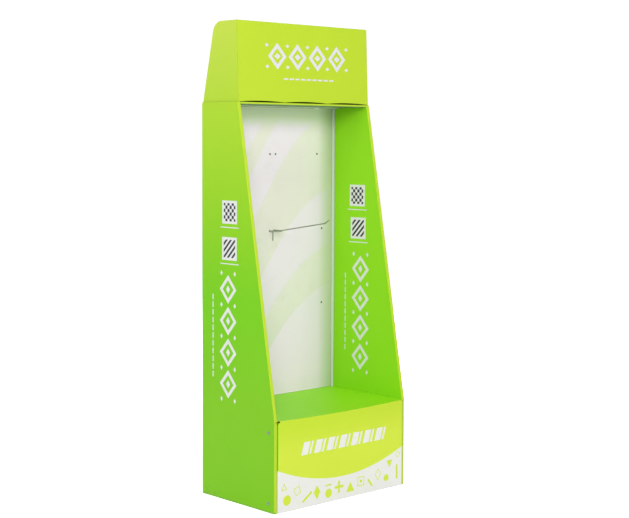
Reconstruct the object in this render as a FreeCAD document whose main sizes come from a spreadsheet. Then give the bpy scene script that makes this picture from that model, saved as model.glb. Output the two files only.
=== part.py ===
"""Floor display stand folded from carton board, with one wire hook on its rear liner.

Millimetres. +Z is up, +X is to the right of someone who faces the stand, and the front looks
along -Y. The origin is at the middle of the footprint, on the floor.
"""
import FreeCAD, Part
import math
import os
import Sketcher
from FreeCAD import Vector

os.makedirs("parts", exist_ok=True)
doc = FreeCAD.newDocument("display_stand")

# Driving sizes
SIZES = {
    # the whole stand
    "width": 600, "depth": 370, "height": 1585,
    "knee": 300,                # top of the base, where the side edges start to slant
    "shoulder": 1320,           # top of the side panels, where the header starts
    "top_depth": 186,           # depth of the side panels at the shoulder
    "board": 4,                 # carton board
    "thin_board": 3,            # the liner's board
    "play": 0.3,                # room between pieces that slide together
    "fold_radius": 2.5,         # outer round of a folded edge
    "slit": 1.5, "slit_drop": 3,
    "inner_rise": 60,           # how far the inner skins stand up inside the header
    "inner_setback": 14,
    # base cover
    "proud": 5,                 # how far the front stands out of the side panels' edges
    "deck_sag": 5, "corner_notch": 6.5,
    "front_flange": 60, "front_flange_drop": 14,
    "deck_flange": 45, "deck_flange_end": 18, "rear_flange": 60,
    # ribs under the deck
    "rib_spacing": 300, "rib_cross_back": 190,
    # rear wall and liner
    "back_flange": 80,
    "liner_gap": 7, "liner_flange": 12, "liner_top_flange": 40, "liner_notch": 5,
    "column_pitch": 222, "row_pitch": 268, "row_middle": 880, "twin_pitch": 25, "peg_hole": 5,
    # ceiling
    "lip_height": 7, "ceiling_flange": 40,
    # header
    "header_lean": 10, "wing_lean": 60, "wing_radius": 42,
    "header_gap": 1.5, "hem_bow": 4,
    "sleeve_tab": 40, "tab_taper": 8, "tab_margin": 14,
    "flap_depth": 92, "flap_tab": 30,
    # screw posts through the base
    "post_setback": 30, "post_low": 30, "post_high": 260,
    "post_barrel": 7, "post_bore": 4.6, "post_head": 12, "post_head_thick": 1.4,
    "post_thread": 4, "post_recess": 3,
    # snap rivets under the ceiling
    "rivet_spacing": 374, "rivet_back": 20,
    "rivet_shank": 5, "rivet_head": 20, "rivet_head_thick": 3, "rivet_catch": 8,
    # hook
    "wire": 4, "prong_length": 192, "prong_tilt": 9.6, "prong_skew": 9.6,
    "tip_length": 21, "tip_tilt": 34,
    "leg_length": 34, "yoke_reach": 39, "yoke_tail": 9,
}

# Places that follow from the driving sizes
PLACES = {
    "front_y": "-(depth + proud) / 2",
    "rim_y": "front_y + proud",
    "back_y": "rim_y + depth",
    "shoulder_y": "back_y - top_depth",
    "half": "width / 2",
    "sleeve": "board + 2 * play",
    "side_thick": "2 * board + sleeve",
    "inner_x": "half - side_thick",          # inner faces of the side panels
    "cover_x": "inner_x - play",             # sides of what fits between them
    "wing_x": "half - board - play",         # outer faces of what fits into their sleeves
    "wall_y": "back_y - board",              # front face of the rear wall
    "liner_y": "wall_y - liner_gap - thin_board",
    "deck_end": "wall_y - play",
    "ceiling_z": "shoulder - lip_height",
    "liner_top": "ceiling_z - play",
    "slant_tan": "(shoulder_y - rim_y) / (shoulder - knee)",
    "slant_sec": "sqrt(1 + slant_tan ^ 2)",
    "lean_tan": "header_lean / (height - shoulder)",
    "lean_sec": "sqrt(1 + lean_tan ^ 2)",
    "wing_tan": "wing_lean / (height - shoulder)",
    "rib_x": "rib_spacing / 2",
    "rib_top": "knee - board - deck_sag * (1 - (rib_x / cover_x) ^ 2) - play",
    "rib_cross_y": "front_y + rib_cross_back",
    "over": "10",                            # how far a cutting outline runs past what it cuts
    "bite": "1",                             # how far a joined shape reaches into its neighbour
    "rivet_y": "liner_y - rivet_back",
    "post_y": "rim_y + post_setback",
}

sheet = doc.addObject("Spreadsheet::Sheet", "Sizes")
cells = [(name, str(value)) for name, value in SIZES.items()]
cells += [(name, "=" + formula) for name, formula in PLACES.items()]
for row, (name, content) in enumerate(cells, 1):
    sheet.set("A%d" % row, name)
    sheet.set("B%d" % row, content)
    sheet.setAlias("B%d" % row, name)
doc.recompute()


def bound(text):
    """The expression with every name of the sheet written as a cell of it."""
    words, word = [], ""
    for mark in text + " ":
        if mark.isalnum() or mark == "_":
            word += mark
        else:
            words.append("Sizes." + word if word in SIZES or word in PLACES else word)
            words.append(mark)
            word = ""
    return "".join(words).strip()


def size(text):
    """The number that an expression of the sheet gives now."""
    value = sheet.evalExpression(bound(text))
    return float(getattr(value, "Value", value))


def new_body(name):
    body = doc.addObject("PartDesign::Body", name)
    body.Label = name
    return body


def new_sketch(body, name, role, offset):
    """A sketch on one of the body's own origin planes, moved along the axis that it faces."""
    sketch = body.newObject("Sketcher::SketchObject", name)
    plane = next(each for each in body.Origin.OriginFeatures if each.Role == role)
    sketch.AttachmentSupport = [(plane, "")]
    sketch.MapMode = "FlatFace"
    away = "-(%s)" % offset if role == "XZ_Plane" else offset
    sketch.setExpression("AttachmentOffset.Base.z", bound(away))
    return sketch


def pin_point(sketch, edge, end, x, y):
    """Hold one end of an edge at a place given by two expressions."""
    for kind, text in (("DistanceX", x), ("DistanceY", y)):
        index = sketch.addConstraint(Sketcher.Constraint(kind, -1, 1, edge, end, size(text)))
        sketch.setExpression("Constraints[%d]" % index, bound(text))


def draw_outline(sketch, corners):
    """A closed outline. A corner is (x, y), or (x, y, bow) where the edge after it is an arc
    that bows to its left by that much."""
    first = sketch.GeometryCount
    count = len(corners)
    for index, corner in enumerate(corners):
        after = corners[(index + 1) % count]
        start = Vector(size(corner[0]), size(corner[1]), 0)
        end = Vector(size(after[0]), size(after[1]), 0)
        if len(corner) == 2:
            sketch.addGeometry(Part.LineSegment(start, end))
            continue
        run = end - start
        middle = (start + end) / 2 + Vector(-run.y, run.x, 0).normalize() * size(corner[2])
        sketch.addGeometry(Part.Arc(start, middle, end))
    for index, corner in enumerate(corners):
        edge, before = first + index, first + (index - 1) % count
        end, end_before = nearest_end(sketch, edge, corner), nearest_end(sketch, before, corner)
        sketch.addConstraint(Sketcher.Constraint("Coincident", before, end_before, edge, end))
        pin_point(sketch, edge, end, corner[0], corner[1])
        if len(corner) == 3:
            after = corners[(index + 1) % count]
            radius = "((%s - (%s)) ^ 2 / (8 * abs(%s)) + abs(%s) / 2)" % (
                after[0], corner[0], corner[2], corner[2])
            held = sketch.addConstraint(Sketcher.Constraint("Radius", edge, size(radius)))
            sketch.setExpression("Constraints[%d]" % held, bound(radius))


def nearest_end(sketch, edge, corner):
    """Which end of an edge, 1 or 2, lies on a corner. An arc may run either way."""
    place = Vector(size(corner[0]), size(corner[1]), 0)
    return min((1, 2), key=lambda end: (sketch.getPoint(edge, end) - place).Length)


def draw_box(sketch, x0, x1, y0, y1):
    draw_outline(sketch, [(x0, y0), (x1, y0), (x1, y1), (x0, y1)])


def draw_circle(sketch, x, y, diameter):
    centre = Vector(size(x), size(y), 0)
    edge = sketch.addGeometry(Part.Circle(centre, Vector(0, 0, 1), size(diameter) / 2))
    pin_point(sketch, edge, 3, x, y)
    held = sketch.addConstraint(Sketcher.Constraint("Diameter", edge, size(diameter)))
    sketch.setExpression("Constraints[%d]" % held, bound(diameter))


def pad(body, sketch, length, reverse=False, middle=False):
    feature = body.newObject("PartDesign::Pad", sketch.Name + "_pad")
    feature.Profile = sketch
    feature.setExpression("Length", bound(length))
    feature.Reversed = reverse
    feature.Midplane = middle
    body.Tip = feature
    doc.recompute()
    return feature


def pocket(body, sketch, length, reverse=False, middle=False):
    """Cut a sketch's outline out of the body, and fail where nothing is cut."""
    before = body.Shape.Volume
    feature = body.newObject("PartDesign::Pocket", sketch.Name + "_pocket")
    feature.Profile = sketch
    feature.setExpression("Length", bound(length))
    feature.Reversed = reverse
    feature.Midplane = middle
    body.Tip = feature
    doc.recompute()
    if not body.Shape.Volume < before - 1e-3:
        raise ValueError("%s cuts nothing" % feature.Name)
    return feature


def fillet(body, name, radius, chosen):
    """Round the edges of the body that the test picks."""
    base = body.Tip
    edges = ["Edge%d" % (index + 1) for index, edge in enumerate(base.Shape.Edges) if chosen(edge)]
    if not edges:
        raise ValueError("%s finds no edge" % name)
    feature = body.newObject("PartDesign::Fillet", name)
    feature.Base = (base, edges)
    feature.setExpression("Radius", bound(radius))
    body.Tip = feature
    doc.recompute()
    return feature


def lies_on(edge, axis, value):
    """Whether both ends of an edge have one coordinate at a value."""
    return all(abs(getattr(vertex.Point, axis) - value) < 1e-4 for vertex in edge.Vertexes)


def runs_along(edge, axis):
    """Whether a straight edge runs along an axis."""
    ends = [vertex.Point for vertex in edge.Vertexes]
    if len(ends) != 2:
        return False
    run = ends[1] - ends[0]
    return abs(getattr(run, axis)) > 0.999 * run.Length


def side_panel():
    """One sheet: outer skin, front rims over the base and the slant, and an inner skin."""
    body = new_body("side_panel_left")
    slab = new_sketch(body, "panel_outline", "YZ_Plane", "-half")
    draw_outline(slab, [("rim_y", "0"), ("rim_y", "knee"), ("shoulder_y", "shoulder"),
                        ("back_y", "shoulder"), ("back_y", "0")])
    pad(body, slab, "side_thick")

    def front_fold(edge):
        at_side = lies_on(edge, "x", -size("half")) or lies_on(edge, "x", -size("inner_x"))
        ends = sorted(vertex.Point.z for vertex in edge.Vertexes)
        in_front = all(vertex.Point.y < size("shoulder_y") + 1e-4 for vertex in edge.Vertexes)
        return at_side and in_front and ends[1] - ends[0] > size("board")

    fillet(body, "panel_folds", "fold_radius", front_fold)

    sleeve = new_sketch(body, "sleeve_outline", "YZ_Plane", "-half + board")
    draw_outline(sleeve, [
        ("rim_y + board", "-over"),
        ("rim_y + board", "knee - board * (slant_sec - 1) / slant_tan"),
        ("shoulder_y + board * slant_sec + over * slant_tan", "shoulder + over"),
        ("back_y + over", "shoulder + over"),
        ("back_y + over", "-over")])
    pocket(body, sleeve, "sleeve", reverse=True)

    rear = new_sketch(body, "rear_opening", "YZ_Plane", "-half + board")
    draw_box(rear, "wall_y - play", "back_y + over", "-over", "shoulder + over")
    pocket(body, rear, "side_thick", reverse=True)

    rise = new_sketch(body, "inner_rise_outline", "YZ_Plane", "-inner_x")
    draw_outline(rise, [
        ("shoulder_y + inner_setback", "shoulder - bite"),
        ("shoulder_y + inner_setback", "shoulder + inner_rise"),
        ("wall_y - play - wing_tan * inner_rise - board", "shoulder + inner_rise"),
        ("wall_y - play - board", "shoulder - bite")])
    pad(body, rise, "board", reverse=True)

    knee_slit = new_sketch(body, "knee_slit", "YZ_Plane", "-half + board")
    draw_box(knee_slit, "rim_y - over", "back_y + over", "knee - slit_drop - slit", "knee - slit_drop")
    pocket(body, knee_slit, "side_thick", reverse=True)

    posts = new_sketch(body, "post_holes", "YZ_Plane", "-half - over")
    for place in ("post_low", "post_high"):
        draw_circle(posts, "post_y", place, "post_barrel + 2 * play")
    pocket(body, posts, "side_thick + 2 * over", reverse=True)

    right = doc.addObject("Part::Mirroring", "side_panel_right")
    right.Label = "side_panel_right"
    right.Source = body
    right.Normal = Vector(1, 0, 0)
    return [body, right]


def back_panel():
    """The rear wall, with side flanges that slide into the side panels' sleeves."""
    body = new_body("back_panel")
    section = new_sketch(body, "wall_section", "XY_Plane", "0")
    draw_outline(section, [
        ("-wing_x", "back_y"), ("-wing_x", "back_y - back_flange"),
        ("-wing_x + board", "back_y - back_flange"), ("-wing_x + board", "wall_y"),
        ("wing_x - board", "wall_y"), ("wing_x - board", "back_y - back_flange"),
        ("wing_x", "back_y - back_flange"), ("wing_x", "back_y")])
    pad(body, section, "shoulder")

    def corner(edge):
        at_side = lies_on(edge, "x", -size("wing_x")) or lies_on(edge, "x", size("wing_x"))
        return at_side and lies_on(edge, "y", size("back_y")) and runs_along(edge, "z")

    fillet(body, "wall_folds", "fold_radius", corner)
    return [body]


def back_liner():
    """The display bay's rear face: a thin sheet with forward flanges and twin peg holes."""
    body = new_body("back_liner")
    face = new_sketch(body, "liner_face", "XZ_Plane", "liner_y")
    draw_box(face, "-cover_x", "cover_x", "knee + play", "liner_top")
    pad(body, face, "thin_board", reverse=True)

    def corner(edge):
        at_side = lies_on(edge, "x", -size("cover_x")) or lies_on(edge, "x", size("cover_x"))
        return at_side and lies_on(edge, "y", size("liner_y + thin_board")) and runs_along(edge, "z")

    fillet(body, "liner_folds", "fold_radius", corner)

    sides = new_sketch(body, "liner_sides", "XZ_Plane", "liner_y")
    draw_box(sides, "-cover_x", "-cover_x + thin_board", "knee + play", "liner_top - thin_board - play")
    draw_box(sides, "cover_x - thin_board", "cover_x", "knee + play", "liner_top - thin_board - play")
    pad(body, sides, "liner_flange")

    head = new_sketch(body, "liner_head", "XZ_Plane", "liner_y")
    draw_box(head, "-cover_x", "cover_x", "liner_top - thin_board", "liner_top")
    pad(body, head, "liner_top_flange")

    pegs = new_sketch(body, "peg_holes", "XZ_Plane", "liner_y - over")
    open_pegs = [
        ("-twin_pitch / 2", "row_middle + row_pitch"), ("twin_pitch / 2", "row_middle + row_pitch"),
        ("-twin_pitch / 2", "row_middle"), ("twin_pitch / 2", "row_middle"),
        ("column_pitch - twin_pitch / 2", "row_middle + row_pitch"),
        ("column_pitch + twin_pitch / 2", "row_middle"),
        ("column_pitch + twin_pitch / 2", "row_middle - row_pitch")]
    for x, z in open_pegs:
        draw_circle(pegs, x, z, "peg_hole")
    pocket(body, pegs, "thin_board + 2 * over")

    notch = new_sketch(body, "liner_notch_outline", "XZ_Plane", "liner_y - over")
    draw_circle(notch, "0", "knee + play", "2 * liner_notch")
    pocket(body, notch, "thin_board + 2 * over")

    rivets = new_sketch(body, "liner_rivet_holes", "XY_Plane", "liner_top - thin_board - over")
    for side in ("-", ""):
        draw_circle(rivets, side + "rivet_spacing / 2", "rivet_y", "rivet_shank + 2 * play")
    pocket(body, rivets, "thin_board + 2 * over", reverse=True)
    return [body]


def base_cover():
    """One sheet: the front, the deck that sags a little at its front edge, and their flanges."""
    body = new_body("base_cover")
    front = new_sketch(body, "front_face", "XZ_Plane", "front_y")
    draw_outline(front, [("-cover_x", "0"), ("cover_x", "0"),
                         ("cover_x", "knee", "deck_sag"), ("-cover_x", "knee")])
    pad(body, front, "board", reverse=True)

    near = new_sketch(body, "deck_front", "XZ_Plane", "front_y")
    draw_outline(near, [("-cover_x", "knee - board", "-deck_sag"), ("cover_x", "knee - board"),
                        ("cover_x", "knee", "deck_sag"), ("-cover_x", "knee")])
    far = new_sketch(body, "deck_rear", "XZ_Plane", "deck_end")
    draw_box(far, "-cover_x", "cover_x", "knee - board", "knee")
    deck = body.newObject("PartDesign::AdditiveLoft", "deck")
    deck.Profile = near
    deck.Sections = [far]
    deck.Ruled = True
    body.Tip = deck
    doc.recompute()

    rear = new_sketch(body, "rear_flange_outline", "XZ_Plane", "deck_end - board")
    draw_box(rear, "-cover_x", "cover_x", "knee - rear_flange", "knee - board / 2")
    pad(body, rear, "board", reverse=True)

    for name, side, reverse in (("left", "-", False), ("right", "", True)):
        cheek = new_sketch(body, "front_flange_" + name, "YZ_Plane", side + "cover_x")
        draw_box(cheek, "front_y + board - bite", "front_y + board + front_flange",
                 "0", "knee - front_flange_drop")
        pad(body, cheek, "board", reverse=reverse)
        apron = new_sketch(body, "deck_flange_" + name, "YZ_Plane", side + "cover_x")
        draw_box(apron, "front_y + board + front_flange + deck_flange_end", "deck_end - deck_flange_end",
                 "knee - deck_flange", "knee - board / 2")
        pad(body, apron, "board", reverse=reverse)
        posts = new_sketch(body, "flange_holes_" + name, "YZ_Plane", side + "(cover_x + over)")
        for place in ("post_low", "post_high"):
            draw_circle(posts, "post_y", place, "post_barrel + 2 * play")
        pocket(body, posts, "board + 2 * over", reverse=not reverse)

    notches = new_sketch(body, "corner_notches", "XZ_Plane", "front_y - over")
    draw_box(notches, "-cover_x - over", "-cover_x + corner_notch", "knee - corner_notch", "knee + over")
    draw_box(notches, "cover_x - corner_notch", "cover_x + over", "knee - corner_notch", "knee + over")
    pocket(body, notches, "over + board + bite")

    def fold(edge):
        at_side = lies_on(edge, "x", -size("cover_x")) or lies_on(edge, "x", size("cover_x"))
        return at_side and lies_on(edge, "y", size("front_y")) and runs_along(edge, "z")

    fillet(body, "front_folds", "fold_radius", fold)
    return [body]


def base_ribs():
    """Three slotted boards, crossed under the deck."""
    ribs = []
    half_slot = "(board / 2 + play)"
    for name, side in (("rib_left", "-"), ("rib_right", "")):
        body = new_body(name)
        outline = new_sketch(body, name + "_outline", "YZ_Plane", side + "rib_x")
        draw_outline(outline, [
            ("front_y + board + play", "0"), ("deck_end - board - play", "0"),
            ("deck_end - board - play", "rib_top"),
            ("rib_cross_y + " + half_slot, "rib_top"), ("rib_cross_y + " + half_slot, "rib_top / 2 - play"),
            ("rib_cross_y - " + half_slot, "rib_top / 2 - play"), ("rib_cross_y - " + half_slot, "rib_top"),
            ("front_y + board + play", "rib_top")])
        pad(body, outline, "board", middle=True)
        ribs.append(body)
    body = new_body("rib_cross")
    outline = new_sketch(body, "rib_cross_outline", "XZ_Plane", "rib_cross_y")
    corners = [("-cover_x + board + play", "0")]
    for side in ("-", ""):
        for edge, heights in (("-", ("0", "rib_top / 2 + play")), ("+", ("rib_top / 2 + play", "0"))):
            corners += [("%srib_x %s %s" % (side, edge, half_slot), height) for height in heights]
    corners += [("cover_x - board - play", "0"), ("cover_x - board - play", "rib_top"),
                ("-cover_x + board + play", "rib_top")]
    draw_outline(outline, corners)
    pad(body, outline, "board", middle=True)
    ribs.append(body)
    return ribs


def ceiling_panel():
    """A shallow tray over the bay, with a low lip in front and higher flanges elsewhere."""
    body = new_body("ceiling_panel")
    block = new_sketch(body, "ceiling_outline", "XY_Plane", "ceiling_z")
    draw_box(block, "-cover_x", "cover_x", "shoulder_y", "deck_end")
    pad(body, block, "ceiling_flange")

    def fold(edge):
        at_side = lies_on(edge, "x", -size("cover_x")) or lies_on(edge, "x", size("cover_x"))
        in_front = lies_on(edge, "y", size("shoulder_y"))
        return lies_on(edge, "z", size("ceiling_z")) and (at_side or in_front)

    fillet(body, "ceiling_folds", "fold_radius", fold)

    hollow = new_sketch(body, "ceiling_hollow", "XY_Plane", "ceiling_z + board")
    draw_box(hollow, "-cover_x + board", "cover_x - board", "shoulder_y + board", "deck_end - board")
    pocket(body, hollow, "ceiling_flange", reverse=True)

    front = new_sketch(body, "lip_cut", "YZ_Plane", "0")
    draw_box(front, "shoulder_y - over", "shoulder_y + inner_setback",
             "ceiling_z + lip_height", "ceiling_z + ceiling_flange + over")
    pocket(body, front, "width", middle=True)

    rivets = new_sketch(body, "ceiling_rivet_holes", "XY_Plane", "ceiling_z - over")
    for side in ("-", ""):
        draw_circle(rivets, side + "rivet_spacing / 2", "rivet_y", "rivet_shank + 2 * play")
    pocket(body, rivets, "board + 2 * over", reverse=True)
    return [body]


def header():
    """One sheet: a front that leans back, wings with tabs for the sleeves, and a top flap."""
    body = new_body("header")
    block = new_sketch(body, "wing_outline", "YZ_Plane", "0")
    tab_front = "shoulder_y + tab_margin"
    tab_back = "back_y - back_flange - tab_margin"
    draw_outline(block, [
        ("shoulder_y", "shoulder"), ("shoulder_y + header_lean", "height"),
        ("back_y - wing_lean", "height"), ("back_y", "shoulder"),
        (tab_back, "shoulder"), (tab_back + " - tab_taper", "shoulder - sleeve_tab"),
        (tab_front + " + tab_taper", "shoulder - sleeve_tab"), (tab_front, "shoulder")])
    pad(body, block, "2 * wing_x", middle=True)

    fillet(body, "wing_corner", "wing_radius", lambda edge: runs_along(edge, "x")
           and lies_on(edge, "z", size("height")) and lies_on(edge, "y", size("back_y - wing_lean")))

    def fold(edge):
        at_side = lies_on(edge, "x", -size("wing_x")) or lies_on(edge, "x", size("wing_x"))
        ends = [vertex.Point for vertex in edge.Vertexes]
        rises = len(ends) == 2 and abs(ends[0].z - ends[1].z) > size("board")
        in_front = all(end.y < size("shoulder_y + header_lean") + 1e-4 for end in ends)
        top = lies_on(edge, "z", size("height")) and lies_on(edge, "y", size("shoulder_y + header_lean"))
        return (at_side and rises and in_front) or top

    fillet(body, "header_folds", "fold_radius", fold)

    hollow = new_sketch(body, "header_hollow", "YZ_Plane", "0")
    draw_outline(hollow, [
        ("shoulder_y + board * lean_sec - lean_tan * (sleeve_tab + over)", "shoulder - sleeve_tab - over"),
        ("shoulder_y + header_lean + board * lean_sec - lean_tan * board", "height - board"),
        ("shoulder_y + header_lean + flap_depth", "height - board"),
        ("shoulder_y + header_lean + flap_depth", "height + over"),
        ("back_y + over", "height + over"),
        ("back_y + over", "shoulder - sleeve_tab - over")])
    pocket(body, hollow, "2 * (wing_x - board)", middle=True)

    hem = new_sketch(body, "hem_outline", "XZ_Plane", "shoulder_y - over")
    third = "(2 * (wing_x - board) / 3)"
    left = "(-wing_x + board)"
    low = "shoulder + header_gap"
    draw_outline(hem, [
        (left, "shoulder - over"), (left + " + 3 * " + third, "shoulder - over"),
        (left + " + 3 * " + third, low, "-hem_bow"), (left + " + 2 * " + third, low, "-hem_bow"),
        (left + " + " + third, low, "-hem_bow"), (left, low)])
    pocket(body, hem, "over + 2 * board")

    for name, side, reverse in (("left", "-", False), ("right", "", True)):
        tab = new_sketch(body, "flap_tab_" + name, "YZ_Plane", side + "(wing_x - board / 2)")
        draw_outline(tab, [
            ("shoulder_y + header_lean + 2 * board", "height - board / 2"),
            ("shoulder_y + header_lean + flap_depth", "height - board / 2"),
            ("shoulder_y + header_lean + flap_depth - tab_taper", "height - flap_tab"),
            ("shoulder_y + header_lean + 2 * board + tab_taper", "height - flap_tab")])
        pad(body, tab, "3 * board / 2", reverse=reverse)
    return [body]


def lying(name, kind, along, radius, length, x, y, z):
    """A cylinder or cone of the part workbench, its axis along +X or +Z from a place."""
    item = doc.addObject("Part::" + kind, name)
    for key, text in (radius if isinstance(radius, tuple) else (("Radius", radius),)):
        item.setExpression(key, bound(text))
    item.setExpression("Height", bound(length))
    if along == "x":
        item.Placement.Rotation = FreeCAD.Rotation(Vector(0, 1, 0), 90)
    for axis, text in (("x", x), ("y", y), ("z", z)):
        item.setExpression("Placement.Base." + axis, bound(text))
    return item


def grouped(name, items):
    group = doc.addObject("Part::Compound", name)
    group.Label = name
    group.Links = items
    return group


def joined(name, items):
    whole = doc.addObject("Part::MultiFuse", name)
    whole.Shapes = items
    return whole


def screw_posts():
    """Two-piece screw posts: a flanged sleeve from outside, and a screw from inside."""
    sleeves, screws = [], []
    grip = "(side_thick + 2 * play + board)"
    for side, sign in (("left", "-"), ("right", "")):
        for level in ("post_low", "post_high"):
            tag = "%s_%s" % (side, level)
            outward = sign == ""
            head_x = "half" if outward else "-half - post_head_thick"
            barrel_x = "half - %s" % grip if outward else "-half"
            head = lying("sleeve_head_" + tag, "Cylinder", "x", "post_head / 2", "post_head_thick",
                         head_x, "post_y", level)
            barrel = lying("sleeve_barrel_" + tag, "Cylinder", "x", "post_barrel / 2", grip,
                           barrel_x, "post_y", level)
            bore = lying("sleeve_bore_" + tag, "Cylinder", "x", "post_bore / 2", "width + 4 * over",
                         "-half - 2 * over", "post_y", level)
            sleeve = doc.addObject("Part::Cut", "sleeve_" + tag)
            sleeve.Base = joined("sleeve_blank_" + tag, [head, barrel])
            sleeve.Tool = bore
            sleeves.append(sleeve)
            inner = "half - %s" % grip
            shank = grip + " - post_recess"
            screw_head = lying("screw_head_" + tag, "Cylinder", "x", "post_head / 2", "post_head_thick",
                               inner + " - post_head_thick" if outward else "-(%s)" % inner,
                               "post_y", level)
            screw_shank = lying("screw_shank_" + tag, "Cylinder", "x", "post_thread / 2", shank,
                                inner if outward else "-(%s) - (%s)" % (inner, shank), "post_y", level)
            screws.append(joined("screw_" + tag, [screw_head, screw_shank]))
    return [grouped("post_sleeves", sleeves), grouped("post_screws", screws)]


def snap_rivets():
    """Plastic rivets that hold the liner's top flange under the ceiling."""
    rivets = []
    under = "(liner_top - thin_board)"
    top = "(ceiling_z + board)"
    for side, sign in (("left", "-"), ("right", "")):
        place = (sign + "rivet_spacing / 2", "rivet_y")
        dome = lying("rivet_dome_" + side, "Cone", "z",
                     (("Radius1", "rivet_head / 2 - rivet_head_thick"), ("Radius2", "rivet_head / 2")),
                     "rivet_head_thick", place[0], place[1], under + " - rivet_head_thick")
        shank = lying("rivet_shank_" + side, "Cylinder", "z", "rivet_shank / 2",
                      "%s - %s + rivet_catch / 4" % (top, under), place[0], place[1], under)
        catch = lying("rivet_catch_" + side, "Cylinder", "z", "rivet_catch / 2", "rivet_catch / 4",
                      place[0], place[1], top + " + play / 2")
        rivets.append(joined("rivet_" + side, [dome, shank, catch]))
    return [grouped("snap_rivets", rivets)]


def bent_wire(points, bends, radius):
    """A round wire along straight runs, with a tangent arc of the given radius at each bend.
    A bend of zero is a sharp corner."""
    sharp_corners = 1
    edges = []
    start = points[0]
    for index in range(1, len(points) - 1):
        corner, bend = points[index], bends[index - 1]
        if not bend:
            edges.append(Part.LineSegment(start, corner).toShape())
            start = corner
            continue
        back = (points[index - 1] - corner).normalize()
        ahead = (points[index + 1] - corner).normalize()
        half_turn = back.getAngle(ahead) / 2
        reach = bend / math.tan(half_turn)
        middle = corner + (back + ahead).normalize() * (bend / math.sin(half_turn) - bend)
        enter, leave = corner + back * reach, corner + ahead * reach
        edges += [Part.LineSegment(start, enter).toShape(), Part.Arc(enter, middle, leave).toShape()]
        start = leave
    edges.append(Part.LineSegment(start, points[-1]).toShape())
    path = Part.Wire(edges)
    run = (points[1] - points[0]).normalize()
    ring = Part.Wire(Part.Circle(points[0], run, radius).toShape())
    return path.makePipeShell([ring], True, False, sharp_corners)


def wire_hook():
    """A prong whose rear end turns down against the liner, welded on a yoke in two peg holes.
    The prong hangs a little aside, as in the photo."""
    wire, liner, row = size("wire"), size("liner_y"), size("row_middle")
    weld_rise, kink_reach = 0.9 * wire, 2 * wire
    plain, soft = 1.5 * wire, 4 * wire      # bend radii
    level = row + weld_rise
    leg_y = liner - wire / 2 - size("play")
    kink = Vector(0, liner - size("yoke_reach") - kink_reach, level)
    aside = math.radians(size("prong_skew"))

    def run_from(place, length, tilt):
        rise = math.radians(tilt)
        ahead = Vector(math.sin(aside), -math.cos(aside), 0) * math.cos(rise)
        return place + (ahead + Vector(0, 0, math.sin(rise))) * length

    end = run_from(kink, size("prong_length"), size("prong_tilt"))
    tip = run_from(end, size("tip_length"), size("tip_tilt"))
    prong = bent_wire([Vector(0, leg_y, row - size("leg_length")), Vector(0, leg_y, level), kink, end, tip],
                      [plain, soft, plain], wire / 2)

    arm = size("twin_pitch") / 2
    tail_y = liner + size("thin_board") + wire / 2 + size("play")
    tail_z = row + size("yoke_tail")
    front = liner - size("yoke_reach")
    yoke = bent_wire([Vector(-arm, tail_y, tail_z), Vector(-arm, tail_y, row), Vector(-arm, front, row),
                      Vector(arm, front, row), Vector(arm, tail_y, row), Vector(arm, tail_y, tail_z)],
                     [0, plain, plain, 0], wire / 2)
    hook = doc.addObject("Part::Feature", "wire_hook")
    hook.Label = "wire_hook"
    hook.Shape = prong.fuse(yoke)
    hook.Placement = FreeCAD.Placement()
    return [hook]


pieces = []
for make in (side_panel, back_panel, back_liner, base_cover, base_ribs, ceiling_panel, header,
             screw_posts, snap_rivets, wire_hook):
    pieces += make()
doc.recompute()

for item in doc.Objects:
    if "Invalid" in item.State or "Error" in item.State:
        raise ValueError("%s failed: %s" % (item.Label, item.State))
for piece in pieces:
    if piece.Shape.isNull() or not piece.Shape.isValid():
        raise ValueError("%s has no valid shape" % piece.Label)
for piece in pieces:
    piece.Shape.exportStep("parts/%s.step" % piece.Label)
    box = piece.Shape.BoundBox
    print("%-18s solids %d  volume %9.0f  x %7.1f %7.1f  y %7.1f %7.1f  z %7.1f %7.1f" % (
        piece.Label, len(piece.Shape.Solids), piece.Shape.Volume,
        box.XMin, box.XMax, box.YMin, box.YMax, box.ZMin, box.ZMax))
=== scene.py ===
"""Floor display stand of printed carton board, empty, with one wire hook.

Metres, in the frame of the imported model: +Z up, the front looks along -Y. The prints are fields of
colour and simple shapes, worked out in millimetres from each surface's own place.
"""
import math

import bpy
from mathutils import Matrix, Vector


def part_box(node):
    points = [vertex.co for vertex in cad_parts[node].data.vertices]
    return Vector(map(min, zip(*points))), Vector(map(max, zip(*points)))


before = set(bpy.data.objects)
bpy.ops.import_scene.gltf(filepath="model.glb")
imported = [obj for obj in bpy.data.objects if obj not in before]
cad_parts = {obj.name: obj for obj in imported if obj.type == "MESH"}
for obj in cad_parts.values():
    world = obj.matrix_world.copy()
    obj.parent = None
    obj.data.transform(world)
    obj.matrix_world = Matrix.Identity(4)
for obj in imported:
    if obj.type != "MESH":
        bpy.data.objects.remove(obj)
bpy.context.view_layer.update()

MM = 1000.0

# Places in millimetres that the prints and the board edges go by
panel_low, panel_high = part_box("side_panel_left")
liner_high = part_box("back_liner")[1]
cover_low, cover_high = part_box("base_cover")
header_low, header_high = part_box("header")
ceiling_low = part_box("ceiling_panel")[0]
wall_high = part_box("back_panel")[1]
BOARD = 4.0
THIN = 3.0                              # the rear face's lighter board
FLUTE = 7.6                             # pitch of the board's corrugation
HALF = -panel_low.x * MM                # half the width over the side panels
INNER = -panel_high.x * MM              # half the width between them
RIM = panel_low.y * MM                  # the upright part of the panels' rims
BACK = panel_high.y * MM
KNEE = cover_high.z * MM                # where the slant of the rims begins
SHOULDER = wall_high.z * MM             # where it ends, below the header
SHOULDER_Y = header_low.y * MM
WING = header_high.x * MM               # half the header's width
HEIGHT = header_high.z * MM
LEAN = 10.0                             # how far the header's front leans back over its height
FRONT = cover_low.y * MM                # the front of the base
COVER = cover_high.x * MM               # half the base cover's width
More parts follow.
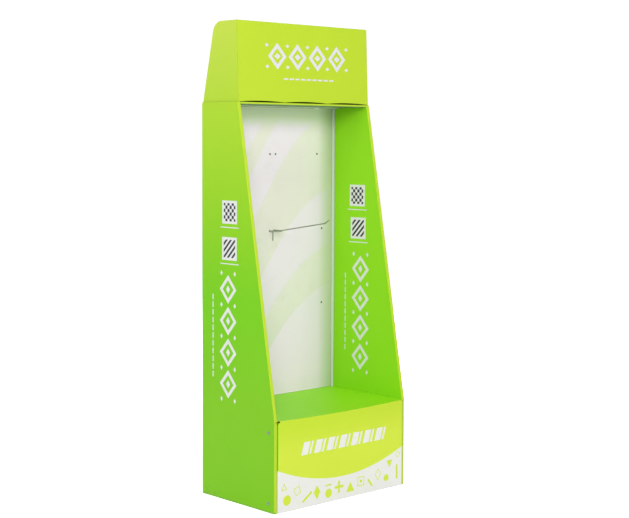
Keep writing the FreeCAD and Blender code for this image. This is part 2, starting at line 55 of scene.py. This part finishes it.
LINER_INNER = liner_high.x * MM - THIN  # where the liner's face meets its side flanges
PEG_TWIN = 12.5                         # half the spacing of a pair of peg holes
PEG_COLUMN = 111.0                      # from one pair to the next, and from row to row
PEG_ROW = 268.0
PEG_MIDDLE = 880.0                      # height of the middle row
POST_Y = RIM + 30                       # the screw posts' axes
POST_MIDDLE = 145.0                     # midway between the lower and the upper ones
POST_SPACING = 230.0


def colour(red, green, blue):
    """A colour given as 0 to 255 on the screen, in linear light."""
    def linear(value):
        share = value / 255
        return share / 12.92 if share <= 0.04045 else ((share + 0.055) / 1.055) ** 2.4
    return (linear(red), linear(green), linear(blue), 1.0)


LIME = colour(180, 207, 43)             # the header's front and the panels' rims
LIME_FRONT = colour(190, 216, 46)       # the base's front, from its top edge down
LIME_LOW = colour(203, 222, 62)
WING_LOW = colour(176, 213, 38)         # the header's wings, from the bottom up
WING_HIGH = colour(190, 215, 58)
GREEN_TOP_PAINTED_LIGHT = colour(170, 212, 29)        # the side panels, outside, from top to bottom; the lighter, yellower top is painted light
GREEN = colour(118, 202, 10)
GREEN_LOW = colour(127, 198, 22)
GREEN_INSIDE = colour(146, 219, 24)     # the side panels, towards the bay
DECK = colour(150, 224, 24)
PAINTED_UNDER_SHADE = colour(104, 140, 92)      # painted shade: the ceiling from below, and the liner's faces turned down
PAINTED_GAP_SHADE = colour(66, 110, 32)       # painted shade: bare board in the gap under the header, green dark as in shade
SEAM = colour(112, 146, 62)             # the fold at the right end of the base's front
SCUFF = colour(128, 164, 78)            # rubbed spots near the floor
RIM_WORN = colour(226, 238, 170)        # folds where the ink cracked off
COVER_WORN = colour(230, 240, 190)
WHITE = colour(225, 225, 222)           # the white of the prints
HEADER_WHITE = colour(214, 212, 217)
LINER_WHITE = colour(234, 224, 233)     # the liner, its waves, and a pinker tone low down, painted light that offsets the deck's green light
LINER_PALE = colour(228, 224, 215)
LINER_LOW_PAINTED_LIGHT = colour(250, 227, 252)
LINER_CEILING_SHADE = colour(228, 241, 204)       # painted shade and green light under the ceiling, painted green light beside the green boards, painted shade in its folds, and its flanges
LINER_BOUNCE_LIGHT = colour(180, 200, 146)
LINER_FOLD_SHADE = colour(158, 160, 168)
LINER_FLANGE = colour(222, 232, 216)
# painted shade in and around the open peg holes
PEG_HOLE_SHADE = colour(62, 68, 52)
INK = colour(52, 58, 66)
KRAFT = colour(186, 150, 106)
KRAFT_DARK = colour(84, 62, 40)
STEEL = colour(176, 180, 170)
ALUMINIUM = colour(172, 190, 164)
PLASTIC = colour(236, 238, 234)
FLOOR = colour(250, 250, 250)
PAPER_GLOSS = 0.2                       # specular level of printed board


class Field:
    """A number that varies over a surface. Arithmetic on fields adds Math nodes to their graph."""

    def __init__(self, graph, socket):
        self.graph, self.socket = graph, socket

    def __add__(self, other):
        return self.graph.math("ADD", self, other)

    def __radd__(self, other):
        return self.graph.math("ADD", other, self)

    def __sub__(self, other):
        return self.graph.math("SUBTRACT", self, other)

    def __rsub__(self, other):
        return self.graph.math("SUBTRACT", other, self)

    def __mul__(self, other):
        return self.graph.math("MULTIPLY", self, other)

    def __rmul__(self, other):
        return self.graph.math("MULTIPLY", other, self)

    def __truediv__(self, other):
        return self.graph.math("DIVIDE", self, other)

    def __neg__(self):
        return self * -1.0

    def __abs__(self):
        return self.graph.math("ABSOLUTE", self)

    def root(self):
        return self.graph.math("SQRT", self)

    def sine(self):
        return self.graph.math("SINE", self)

    def clamp(self):
        """Held between 0 and 1."""
        return self.graph.math("ADD", self, 0.0, clamp=True)

    def over(self, other):
        """1 where this is above the other, else 0."""
        return self.graph.math("GREATER_THAN", self, other)

    def repeat(self, pitch):
        """The distance from the nearest multiple of a pitch, signed."""
        return self.graph.math("WRAP", self, pitch / 2, -pitch / 2)

    def ramp(self, start, end):
        """0 up to the start, 1 from the end on, even between. The end may lie below the start."""
        return ((self - start) / (end - start)).clamp()


def least(*fields):
    result = fields[0]
    for field in fields[1:]:
        result = result.graph.math("MINIMUM", result, field)
    return result


def most(*fields):
    result = fields[0]
    for field in fields[1:]:
        result = result.graph.math("MAXIMUM", result, field)
    return result


class Graph:
    """One material's node tree, with its place in millimetres and its normal ready to use."""

    def __init__(self, name):
        self.material = bpy.data.materials.new(name)
        self.material.use_nodes = True
        self.tree = self.material.node_tree
        self.tree.nodes.clear()
        self.coords = self.tree.nodes.new("ShaderNodeTexCoord")
        split = self.tree.nodes.new("ShaderNodeSeparateXYZ")
        self.tree.links.new(self.coords.outputs["Object"], split.inputs[0])
        self.x, self.y, self.z = (Field(self, out) * MM for out in split.outputs)
        turn = self.tree.nodes.new("ShaderNodeSeparateXYZ")
        self.tree.links.new(self.coords.outputs["Normal"], turn.inputs[0])
        self.nx, self.ny, self.nz = (Field(self, out) for out in turn.outputs)

    def feed(self, socket, value):
        if isinstance(value, Field):
            self.tree.links.new(value.socket, socket)
        elif isinstance(value, bpy.types.NodeSocket):
            self.tree.links.new(value, socket)
        else:
            socket.default_value = value

    def math(self, operation, *values, clamp=False):
        node = self.tree.nodes.new("ShaderNodeMath")
        node.operation = operation
        node.use_clamp = clamp
        for socket, value in zip(node.inputs, values):
            self.feed(socket, value)
        return Field(self, node.outputs[0])

    def noise(self, size, detail=3.0, stretch=(1, 1, 1), roughness=0.5):
        """Noise from 0 to 1, whose blots are about a size in millimetres across."""
        scale = self.tree.nodes.new("ShaderNodeMapping")
        self.feed(scale.inputs["Vector"], self.coords.outputs["Object"])
        scale.inputs["Scale"].default_value = [MM / (size * part) for part in stretch]
        node = self.tree.nodes.new("ShaderNodeTexNoise")
        self.feed(node.inputs["Vector"], scale.outputs[0])
        node.inputs["Scale"].default_value = 1.0
        node.inputs["Detail"].default_value = detail
        node.inputs["Roughness"].default_value = roughness
        return Field(self, node.outputs["Fac"])

    def mix(self, share, first, second):
        """Two colours mixed, the second by its share."""
        node = self.tree.nodes.new("ShaderNodeMix")
        node.data_type = "RGBA"
        self.feed(node.inputs[0], share)
        self.feed(node.inputs[6], first)
        self.feed(node.inputs[7], second)
        return node.outputs[2]

    def shade(self, base, factor):
        """A colour made lighter or darker by a field about 1."""
        node = self.tree.nodes.new("ShaderNodeVectorMath")
        node.operation = "SCALE"
        self.feed(node.inputs[0], base[:3] if isinstance(base, tuple) else base)
        self.feed(node.inputs["Scale"], factor)
        return node.outputs[0]

    def finish(self, base, roughness, height, specular=0.5, metallic=0.0):
        """The surface shader. Height is a field in millimetres."""
        bump = self.tree.nodes.new("ShaderNodeBump")
        bump.inputs["Strength"].default_value = 1.0
        bump.inputs["Distance"].default_value = 1.0 / MM
        self.feed(bump.inputs["Height"], height)
        shader = self.tree.nodes.new("ShaderNodeBsdfPrincipled")
        self.feed(shader.inputs["Base Color"], base)
        self.feed(shader.inputs["Roughness"], roughness)
        self.feed(shader.inputs["Normal"], bump.outputs[0])
        shader.inputs["Specular IOR Level"].default_value = specular
        shader.inputs["Metallic"].default_value = metallic
        out = self.tree.nodes.new("ShaderNodeOutputMaterial")
        self.tree.links.new(shader.outputs[0], out.inputs[0])
        return self.material


# Shapes of the print. Each gives the distance to its edge in millimetres, negative inside.

def disc(u, v, radius):
    return (u * u + v * v).root() - radius


def box(u, v, half_width, half_height):
    return most(abs(u) - half_width, abs(v) - half_height)


def lozenge(u, v, half_width, half_height):
    share = half_height / half_width
    return (abs(u) * share + abs(v) - half_height) / math.hypot(1, share)


def bar(u, v, half_length, radius):
    """A bar along u with round ends."""
    past = most(abs(u) - half_length, 0 * u)
    return (past * past + v * v).root() - radius


def triangle(u, v, half_width, half_height):
    """A triangle that stands on its base."""
    slope = 2 * half_height / half_width
    return most((abs(u) * slope + v - half_height) / math.hypot(1, slope), -half_height - v)


def outlined(distance, width):
    """The outline of a shape, of a width, inside its edge."""
    return abs(distance + width / 2) - width / 2


def turned(u, v, degrees):
    cosine, sine = math.cos(math.radians(degrees)), math.sin(math.radians(degrees))
    return u * cosine + v * sine, v * cosine - u * sine


def ink(distance, soft=0.8):
    """How much a shape covers, with an edge that is a little soft."""
    return (0.5 - distance / soft).clamp()


# What all the board has in common

def flutes(along):
    """The wave of the corrugation, from -1 to 1."""
    return (along * (2 * math.pi / FLUTE)).sine()


def board_edge(graph, depth, along, thickness):
    """A cut edge: two facings and the wave between them. Gives a colour and a height."""
    swing, half_wave, inside_facing = 0.36, 0.09, 0.38      # shares of the board's thickness
    middle = depth / thickness - 0.5
    wave = ink(abs(middle - flutes(along) * swing) - half_wave, 0.06)
    facings = ink(inside_facing - abs(middle), 0.05)
    paper = most(wave, facings)
    fibre = graph.noise(1.5, 4.0)
    tone = graph.shade(graph.mix(paper, KRAFT_DARK, KRAFT), 0.8 + fibre * 0.4)
    return tone, paper * 0.5


def paper_height(graph, flute_along, washboard=0.012):
    """Fine grain of the facing, and the flutes that show through it a little."""
    grain = graph.noise(0.8, 3.0)
    cloudy = graph.noise(60.0, 2.0)
    return grain * 0.02 + flutes(flute_along) * washboard + cloudy * 0.25


def board(graph, printed, inside, depth, edge_along, flute_along, painted_shade=0.0):
    """Print on the outer facing, plain paper on the inner one, and flutes on the cuts between.

    The last argument is how far what isn't printed is painted the green dark of shade in a narrow gap:
    painted shade.
    """
    skin, core = 0.85, BOARD - 0.6      # how deep the print's facing and the flutes reach
    edge, edge_height = board_edge(graph, depth, edge_along, BOARD)
    is_cut = depth.over(skin)
    is_inner = depth.over(core)
    # painted shade: bare board in a narrow gap goes to the green dark of shade
    bare = graph.mix(painted_shade, graph.mix(is_inner, edge, inside), PAINTED_GAP_SHADE)
    base = graph.mix(is_cut, printed, bare)
    plain = graph.noise(30.0, 4.0, roughness=0.6)
    print_rough = 0.4 + graph.noise(45.0, 3.0) * 0.12 + graph.noise(2.0, 2.0) * 0.05
    rough = print_rough + is_cut * (0.25 + plain * 0.1)
    height = paper_height(graph, flute_along) + edge_height * is_cut * (1 - is_inner)
    return graph.finish(base, rough, height, specular=PAPER_GLOSS)


def mottled(graph, base, amount=0.05):
    """A print's slight unevenness: broad clouds and a fine speckle."""
    clouds = graph.noise(180.0, 2.0)
    speckle = graph.noise(1.2, 2.0)
    return graph.shade(base, 1.0 + (clouds - 0.5) * amount + (speckle - 0.5) * (amount * 0.6))


def worn_fold(graph, distance):
    """Where the ink cracked off along a fold: a thin broken line."""
    width, gaps = 1.1, 0.42
    broken = graph.noise(7.0, 4.0, roughness=0.7)
    return ink(distance - width * broken, 0.5) * broken.over(gaps)


# The prints

def chain_print(u, v, length, width):
    """A chain of lozenges with small ones between, centred on the origin, along v."""
    links, gap = 4, 5.0
    pitch = length / links
    past_end = abs(v) - length / 2
    place = (v + pitch / 2).repeat(pitch)
    outline = outlined(lozenge(u, place, width / 2, pitch / 2 - gap), width * 0.13)
    core = lozenge(u, place, width * 0.12, width * 0.16)
    dots = lozenge(abs(u) - width * 0.40, v.repeat(pitch), width * 0.07, width * 0.10)
    return least(most(least(outline, core), past_end), most(dots, past_end - width * 0.12))


def dashes(u, v, length, width):
    """A fine broken line along v."""
    pitch, half_dash = 26.0, 9.5
    return most(box(u, v.repeat(pitch), width / 2, half_dash), abs(v) - length / 2)


def checker_tile(u, v, side):
    """White square with a regular checker of dark fields. Gives the white and the dark distance."""
    field = side / 7
    inside = side / 2 - field * 0.75
    cells = [box((u + shift).repeat(2 * field), (v + shift).repeat(2 * field), field / 2, field / 2)
             for shift in (field / 2, -field / 2)]
    return box(u, v, side / 2, side / 2), most(least(*cells), box(u, v, inside, inside))


def stripe_tile(u, v, side):
    """White square with dark slanting stripes. Gives the white and the dark distance."""
    inside = side * 0.39
    across = turned(u, v, 45)[0]
    stripes = abs(across.repeat(side / 5)) - side / 20
    return box(u, v, side / 2, side / 2), most(stripes, box(u, v, inside, inside))


# Where the middles of a side panel's motifs lie, along Y and up Z
OUTER_LAYOUT = {"chain": (51.0, 548.0), "line": (130.0, 546.0),
                "checker": (43.0, 960.0), "stripes": (44.0, 840.0)}
INNER_LAYOUT = {"chain": (27.0, 582.0), "line": (104.0, 582.0),
                "checker": (45.0, 1001.0), "stripes": (40.0, 885.0)}
CHAIN_SIZE = (420.0, 86.0)
LINE_SIZE = (278.0, 5.0)
TILE = 76.0


def panel_print(u, v, layout):
    """The white and the dark parts of a side panel's print. Below each tile lies a short rule."""
    chain_u, chain_v = layout["chain"]
    line_u, line_v = layout["line"]
    white = [chain_print(u - chain_u, v - chain_v, *CHAIN_SIZE),
             dashes(u - line_u, v - line_v, *LINE_SIZE)]
    dark = []
    for name, tile in (("checker", checker_tile), ("stripes", stripe_tile)):
        tile_u, tile_v = layout[name]
        plate, marks = tile(u - tile_u, v - tile_v, TILE)
        rule = box(u - tile_u, v - tile_v + TILE * 0.66, TILE * 0.62, 1.6)
        white += [plate, rule]
        dark.append(marks)
    return least(*white), least(*dark)


def side_green_painted_light(graph):
    """The outside green, which fades from a lighter, yellower tone at the top, painted as light
    falling there, and shifts to another tone towards the bottom.
    """
    upper = graph.z.ramp(680, 1320)
    lower = graph.z.ramp(620, 320)
    return graph.mix(upper, graph.mix(lower, GREEN, GREEN_LOW), GREEN_TOP_PAINTED_LIGHT)


def side_board():
    """The side panels: print on both faces and on the rims, plain board inside the sleeves."""
    graph = Graph("side_board")
    across = abs(graph.x)
    tangent = (SHOULDER_Y - RIM) / (SHOULDER - KNEE)
    slant = most(graph.z - KNEE, 0 * graph.z) * tangent
    rim = (graph.y - RIM - slant) * (1 / math.hypot(1, tangent))
    face = least(HALF - across, across - INNER)
    outside = across.over((HALF + INNER) / 2)
    facing_front = (-graph.ny * 1.6 - 0.3).clamp()
    plain = graph.mix(facing_front, graph.mix(outside, GREEN_INSIDE, side_green_painted_light(graph)), LIME)
    outer_white, outer_dark = panel_print(graph.y, graph.z, OUTER_LAYOUT)
    inner_white, inner_dark = panel_print(graph.y, graph.z, INNER_LAYOUT)
    flat = abs(graph.nx).over(0.9)
    white = (ink(outer_white) * outside + ink(inner_white) * (1 - outside)) * flat
    dark = (ink(outer_dark) * outside + ink(inner_dark) * (1 - outside)) * flat
    printed = graph.mix(dark, graph.mix(white, mottled(graph, plain), WHITE), INK)
    printed = graph.mix(worn_fold(graph, most(face, rim)) * 0.6, printed, RIM_WORN)
    printed = graph.mix(scuffs(graph, outside), printed, SCUFF)
    return board(graph, printed, KRAFT, least(face, rim), graph.y, graph.y)


def scuffs(graph, outside):
    """Rubbed spots on the outside: near the floor at the rear corner, and along the lower edge."""
    corner_y, corner_z, radius = BACK - 45, 22.0, 26.0
    reach = disc((graph.y - corner_y) * 0.6, graph.z - corner_z, radius)
    spots = graph.noise(9.0, 4.0, roughness=0.65)
    low = ink(graph.z - 3.0 - spots * 5.0, 2.0) * spots.over(0.45)
    return most(spots.over(0.60) * ink(reach, 18.0), low) * outside * 0.7


def wall_board():
    """The rear wall: plain print outside, with the side panels' painted light towards the top, board
    inside.
    """
    graph = Graph("wall_board")
    depth = least(BACK - graph.y, WING - abs(graph.x))
    printed = mottled(graph, side_green_painted_light(graph))
    return board(graph, printed, KRAFT, depth, graph.x + graph.y, graph.x)


def header_board():
    """The header: a row of lozenges and a broken line on its front."""
    graph = Graph("header_board")
    lean = LEAN / (HEIGHT - SHOULDER)
    front = (graph.y - SHOULDER_Y - (graph.z - SHOULDER) * lean) * (1 / math.hypot(1, lean))
    depth = least(WING - abs(graph.x), front, HEIGHT - graph.z)
    facing_front = (-graph.ny).over(0.5)
    wing = graph.mix(graph.z.ramp(SHOULDER, HEIGHT), WING_LOW, WING_HIGH)
    plain = mottled(graph, graph.mix(facing_front, wing, LIME))
    row_x, row_z, row_length, row_height = 11.0, 1474.0, 362.0, 88.0
    line_x, line_z, line_length, line_height = 15.0, 1400.0, 240.0, 5.0
    row = chain_print(graph.z - row_z, graph.x - row_x, row_length, row_height)
    line = dashes(graph.z - line_z, graph.x - line_x, line_length, line_height)
    white = ink(least(row, line)) * facing_front
    # painted shade: the rounded folds between the front and the wings darken by how the surface turns
    painted_bend_shade = (abs(graph.nx) * -graph.ny * 2).clamp()
    printed = graph.shade(graph.mix(white, plain, HEADER_WHITE), 1.0 - painted_bend_shade * 0.16)
    # painted shade on the header's bare board near the gap below it
    header_gap_shade = graph.z.ramp(SHOULDER + 24, SHOULDER + 14)
    return board(graph, printed, KRAFT, depth, graph.x + graph.y, graph.x + graph.y, painted_shade=header_gap_shade)


def slanted_bars(u, v):
    """Groups of one broad and one narrow bar that lean forward, centred on the origin."""
    lean, pitch, groups, half_height = 0.32, 56.0, 7, 21.0
    across = u - v * lean
    place = across.repeat(pitch)
    broad = abs(place + 7) - 14
    narrow = abs(place - 18) - 4
    return most(least(broad, narrow), abs(v) - half_height, abs(across) - pitch * groups / 2)


def band_motifs(u, v):
    """A loose row of simple shapes in the white band below the arc."""
    shapes = []

    def put(make, place_u, place_v, *sizes, turn=0, hollow=0):
        shape = make(*turned(u - place_u, v - place_v, turn), *sizes)
        shapes.append(outlined(shape, hollow) if hollow else shape)

    put(triangle, -262, 84, 13, 12, hollow=3)
    put(disc, -250, 38, 17)
    put(box, -205, 62, 13, 13, turn=20, hollow=3)
    put(bar, -168, 30, 14, 4, turn=35)
    put(bar, -156, 38, 14, 4, turn=35)
    put(lozenge, -118, 42, 15, 24)
    put(disc, -66, 30, 15)
    put(bar, -66, 58, 12, 2.5)
    put(bar, -18, 44, 17, 4.5)
    put(bar, -18, 44, 17, 4.5, turn=90)
    put(triangle, 34, 36, 19, 17)
    put(box, 84, 46, 16, 16, hollow=3)
    put(disc, 84, 46, 6)
    put(bar, 128, 34, 13, 4, turn=-50)
    put(lozenge, 166, 56, 15, 22, hollow=3)
    put(disc, 206, 38, 12)
    put(triangle, 222, 84, 14, 13, turn=180)
    put(bar, 258, 52, 22, 4, turn=90)
    put(box, 262, 112, 9, 9, turn=45, hollow=2.5)
    return least(*shapes)


def cover_board():
    """The base cover: lime front above a white band with simple shapes, and the green deck."""
    graph = Graph("cover_board")
    across = abs(graph.x)
    facing_front = (-graph.ny).over(0.6)
    facing_up = graph.nz.over(0.6)
    arc_low, arc_rise, arc_half = 78.0, 64.0, 294.0
    arc = graph.z - arc_low - graph.x * graph.x * (arc_rise / arc_half ** 2)
    bars_x, bars_z = 7.0, 196.0
    bars = ink(slanted_bars(graph.x - bars_x, graph.z - bars_z))
    white_band = graph.mix(ink(band_motifs(graph.x, graph.z)), WHITE, LIME_LOW)
    fall = graph.z.ramp(KNEE - 20, KNEE - 110)
    lime = graph.mix(bars, mottled(graph, graph.mix(fall, LIME_FRONT, LIME_LOW)), WHITE)
    front = graph.mix(ink(arc), lime, white_band)
    deck = mottled(graph, DECK)
    side = graph.mix(ink(arc), GREEN, WHITE)
    printed = graph.mix(facing_front, graph.mix(facing_up, side, deck), front)
    from_front = graph.y - FRONT
    top = (1 - graph.z.over(KNEE - 12) * facing_up) * 2.0   # 0 on the deck's face, deeper elsewhere
    depth = least(from_front, COVER - across, top)
    fold = most(COVER - across, from_front)
    printed = graph.mix(worn_fold(graph, fold) * 0.5, printed, COVER_WORN)
    seam_width = 4.5
    seam = ink(COVER - seam_width - graph.x, 1.5) * (0.3 + graph.noise(9.0, 2.0) * 0.6) * facing_front
    printed = graph.mix(seam, printed, SEAM)
    return board(graph, printed, KRAFT, depth, graph.x + graph.y, graph.x)


def liner_waves(graph):
    """Three pale slanting waves, each with its own level and half width."""
    sweep = graph.z - graph.x * 0.9
    wave = (graph.x * 0.009 + 0.6).sine() * 60 + (graph.z * 0.006).sine() * 20
    waves = ((900, 120), (1225, 46), (520, 74))
    return most(*(ink(abs(sweep - wave - level) - half_width, 1.2) for level, half_width in waves))


def peg_rings(graph):
    """Faint rings in a regular grid of pairs, where holes may be punched."""
    radius, line, grid_half_width, grid_half_height = 2.9, 0.5, 250, 290
    pair = abs(graph.x.repeat(PEG_COLUMN)) - PEG_TWIN
    rise = graph.z - PEG_MIDDLE
    ring = outlined(disc(pair, rise.repeat(PEG_ROW), radius), line)
    return ink(ring, 0.4) * ink(box(graph.x, rise, grid_half_width, grid_half_height))


def painted_peg_shade(graph):
    """Painted shade in and a little around the open holes: the middle pair in two rows, and single
    ones further right.
    """
    radius = 3.6
    across, past_last = abs(graph.x), graph.x - 2 * PEG_COLUMN
    holes = ((across, 1), (across, 0), (-past_last, 1), (past_last, 0), (past_last, -1))
    return ink(least(*(disc(place - PEG_TWIN, graph.z - (PEG_MIDDLE + PEG_ROW * row), radius)
                       for place, row in holes)), 0.6)


def liner_board():
    """The rear face of the bay: white with pale waves, with painted green light beside the green
    boards, painted shade under the ceiling, in the folds and in the peg holes, and painted light
    higher up and low down.
    """
    graph = Graph("liner_board")
    across = abs(graph.x)
    rings = peg_rings(graph)
    smudge = graph.noise(70.0, 4.0, roughness=0.65)
    # painted light: a pinker tone low down that offsets the green light from the deck
    white = graph.mix(graph.z.ramp(620, 360), LINER_WHITE, LINER_LOW_PAINTED_LIGHT)
    base = graph.mix(liner_waves(graph), white, LINER_PALE)
    # painted light: lighter from 1060 mm up, against the light falling off under the ceiling
    base = graph.shade(base, 1.0 + graph.z.ramp(1060, 1220) * 0.18)
    base = graph.shade(mottled(graph, base, 0.03), 1.0 - rings * 0.22)
    base = graph.shade(base, 1.0 - (smudge - 0.55).clamp() * 0.25)
    # painted shade, with green light, on the liner just under the ceiling
    painted_ceiling_shade = graph.z.ramp(1238, 1274)
    # painted green light beside the green side panels
    painted_bounce_light = across.ramp(218, 280)
    # painted shade along the folds to the side flanges
    fold = ink(LINER_INNER - 3.5 - across, 2.0)
    is_flange = abs(graph.nx).over(0.7)
    # painted shade on the faces turned down
    facing_down = (-graph.nz).over(0.6)
    for share, tone in ((painted_ceiling_shade * 0.9, LINER_CEILING_SHADE), (painted_bounce_light * 0.9, LINER_BOUNCE_LIGHT),
                        (fold * 0.6, LINER_FOLD_SHADE), (is_flange, LINER_FLANGE),
                        (facing_down, PAINTED_UNDER_SHADE), (painted_peg_shade(graph), PEG_HOLE_SHADE)):
        base = graph.mix(share, base, tone)
    flat = (abs(graph.ny) + abs(graph.nx)).over(0.7)
    depth = (1 - flat) * (THIN * 0.5 + graph.y.repeat(THIN))
    edge = board_edge(graph, depth, graph.x, THIN)[0]
    base = graph.mix(graph.nz.over(0.6) * 0.35, base, edge)
    height = paper_height(graph, graph.x, 0.008) - rings * 0.15
    return graph.finish(base, 0.42 + smudge * 0.14, height, specular=PAPER_GLOSS)


def ceiling_board():
    """The ceiling tray: print below, in a darker grey-green of painted shade, and on the lip, board
    above, with painted shade on the board in the gap under the header.
    """
    graph = Graph("ceiling_board")
    low, front = ceiling_low.z * MM, ceiling_low.y * MM
    depth = least(graph.z - low, graph.y - front, COVER - abs(graph.x))
    facing_front = (-graph.ny).over(0.4)
    facing_down = (-graph.nz).over(0.4)
    # painted shade: the print below is a darker grey-green
    printed = graph.mix(facing_down, graph.mix(facing_front, GREEN, LIME), PAINTED_UNDER_SHADE)
    # painted shade on the board in the gap under the header
    gap_middle, gap_half = SHOULDER + 6, 14.0
    ceiling_gap_shade = ink(abs(graph.z - gap_middle) - gap_half, 10.0)
    return board(graph, mottled(graph, printed), KRAFT, depth, graph.x, graph.x, painted_shade=ceiling_gap_shade)


def kraft_board():
    """The hidden ribs: bare board with its flutes on the cut edges."""
    graph = Graph("kraft_board")
    flat = (abs(graph.nx) + abs(graph.ny)).over(0.7)
    depth = graph.x.repeat(2 * BOARD) + BOARD / 2
    edge, edge_height = board_edge(graph, depth, graph.y, BOARD)
    fibres = graph.noise(14.0, 5.0, stretch=(1, 1, 4), roughness=0.65)
    face = graph.shade(KRAFT, 0.86 + fibres * 0.28)
    base = graph.mix(flat, edge, face)
    height = paper_height(graph, graph.x + graph.y, 0.02) + edge_height * (1 - flat)
    return graph.finish(base, 0.78 + fibres * 0.1, height, specular=0.3)


def steel_wire():
    """Zinc-plated wire, drawn along its length."""
    graph = Graph("steel_wire")
    drawn = graph.noise(0.7, 3.0, stretch=(1, 30, 1))
    dull = graph.noise(12.0, 3.0)
    base = graph.shade(STEEL, 0.75 + dull * 0.4)
    return graph.finish(base, 0.3 + dull * 0.2, drawn * 0.02, metallic=1.0)


def post_metal():
    """Turned aluminium, with fine rings about each post's axis."""
    graph = Graph("post_metal")
    from_axis = disc(graph.y - POST_Y, abs(graph.z - POST_MIDDLE) - POST_SPACING / 2, 0.0)
    turning = (from_axis * 9.0).sine()
    dull = graph.noise(3.0, 3.0)
    base = graph.shade(ALUMINIUM, 0.8 + dull * 0.3)
    return graph.finish(base, 0.35 + dull * 0.15, turning * 0.01, metallic=0.8)


def white_plastic():
    """Moulded rivets."""
    graph = Graph("white_plastic")
    fine = graph.noise(0.6, 2.0)
    base = graph.shade(PLASTIC, 0.94 + fine * 0.1)
    return graph.finish(base, 0.35 + fine * 0.1, fine * 0.01)


FINISHES = (
    (side_board, ("side_panel_left", "side_panel_right")),
    (wall_board, ("back_panel",)),
    (header_board, ("header",)),
    (cover_board, ("base_cover",)),
    (liner_board, ("back_liner",)),
    (ceiling_board, ("ceiling_panel",)),
    (kraft_board, ("rib_left", "rib_right", "rib_cross")),
    (steel_wire, ("wire_hook",)),
    (post_metal, ("post_sleeves", "post_screws")),
    (white_plastic, ("snap_rivets",)),
)


def finish_nodes():
    for make, names in FINISHES:
        material = make()
        for name in names:
            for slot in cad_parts[name].material_slots:
                slot.material = material


# Camera, light and floor

def add_camera():
    """The photo's view: a longer lens at chest height, turned to the stand's left front corner."""
    yaw, pitch, roll = math.radians(42.724), math.radians(-3.882), math.radians(-0.230)
    place = (-3.1730, -3.4781, 1.1944)
    photo_width, axis_rise = 629, 24    # in pixels; the lens's axis lies that far above the middle
    ahead = Vector((math.sin(yaw) * math.cos(pitch), math.cos(yaw) * math.cos(pitch), math.sin(pitch)))
    level = Vector((math.cos(yaw), -math.sin(yaw), 0))
    down = ahead.cross(level)
    right = level * math.cos(roll) + down * math.sin(roll)
    below = down * math.cos(roll) - level * math.sin(roll)
    turn = Matrix((right, -below, -ahead)).transposed()
    data = bpy.data.cameras.new("camera")
    data.lens = 79.38
    data.sensor_width = 36
    data.shift_y = -axis_rise / photo_width
    camera = bpy.data.objects.new("camera", data)
    camera.matrix_world = Matrix.Translation(place) @ turn.to_4x4()
    bpy.context.scene.collection.objects.link(camera)
    bpy.context.scene.camera = camera


SOFTBOXES = (
    # name, place, width, power
    ("key", (-3.3, -3.7, 2.7), 1.6, 114),
    ("fill_right", (1.6, -4.4, 1.9), 1.6, 30),
    ("fill_left", (-4.6, -1.6, 2.4), 1.6, 12),
    ("overhead", (-0.9, -1.6, 4.2), 2.0, 36),
    ("rear_right", (3.8, 1.8, 2.6), 2.0, 90),
    ("rear_left", (-1.8, 4.2, 2.4), 2.0, 60),
)
LIT = Vector((0.0, 0.0, 0.8))           # what all the softboxes point at


def add_softbox(name, place, width, power):
    data = bpy.data.lights.new(name, "AREA")
    data.shape = "SQUARE"
    data.size = width
    data.energy = power
    light = bpy.data.objects.new(name, data)
    light.location = place
    light.rotation_euler = (LIT - Vector(place)).to_track_quat("-Z", "Y").to_euler()
    bpy.context.scene.collection.objects.link(light)


def add_light():
    """A white studio: it looks full white behind the stand, and softboxes give most of the light."""
    seen, shed = 1.05, 0.42             # how bright it looks, and how much light it gives
    world = bpy.data.worlds.new("studio")
    world.use_nodes = True
    nodes, links = world.node_tree.nodes, world.node_tree.links
    sky = nodes["Background"]
    sky.inputs["Color"].default_value = (1.0, 1.0, 1.0, 1.0)
    path = nodes.new("ShaderNodeLightPath")
    strength = nodes.new("ShaderNodeMapRange")
    strength.inputs["To Min"].default_value = shed
    strength.inputs["To Max"].default_value = seen
    links.new(path.outputs["Is Camera Ray"], strength.inputs["Value"])
    links.new(strength.outputs["Result"], sky.inputs["Strength"])
    bpy.context.scene.world = world
    bpy.context.scene.view_settings.view_transform = "Standard"
    for softbox in SOFTBOXES:
        add_softbox(*softbox)


def add_floor():
    """A plain white floor, lit up to the white of the studio, with the stand's soft shadow on it."""
    half = 30.0                         # half its width, in metres
    near, far = 1500.0, 5000.0          # distances from the stand's middle, in millimetres
    near_lift, far_lift = 1.7, 2.6      # how much brighter the floor looks there than it is
    mesh = bpy.data.meshes.new("floor")
    corners = [(-half, -half, 0), (half, -half, 0), (half, half, 0), (-half, half, 0)]
    mesh.from_pydata(corners, [], [(0, 1, 2, 3)])
    floor = bpy.data.objects.new("floor", mesh)
    bpy.context.scene.collection.objects.link(floor)
    graph = Graph("floor")
    path = graph.tree.nodes.new("ShaderNodeLightPath")
    dust = graph.noise(400.0, 2.0)
    away = disc(graph.x, graph.y, 0.0).ramp(near, far)
    lift = near_lift - 1.0 + away * (far_lift - near_lift)
    level = 0.99 + dust * 0.02 + Field(graph, path.outputs["Is Camera Ray"]) * lift
    pale = graph.shade(FLOOR, level)
    mesh.materials.append(graph.finish(pale, 0.9, dust * 0.1, specular=0.1))


add_camera()
add_light()
add_floor()
finish_nodes()
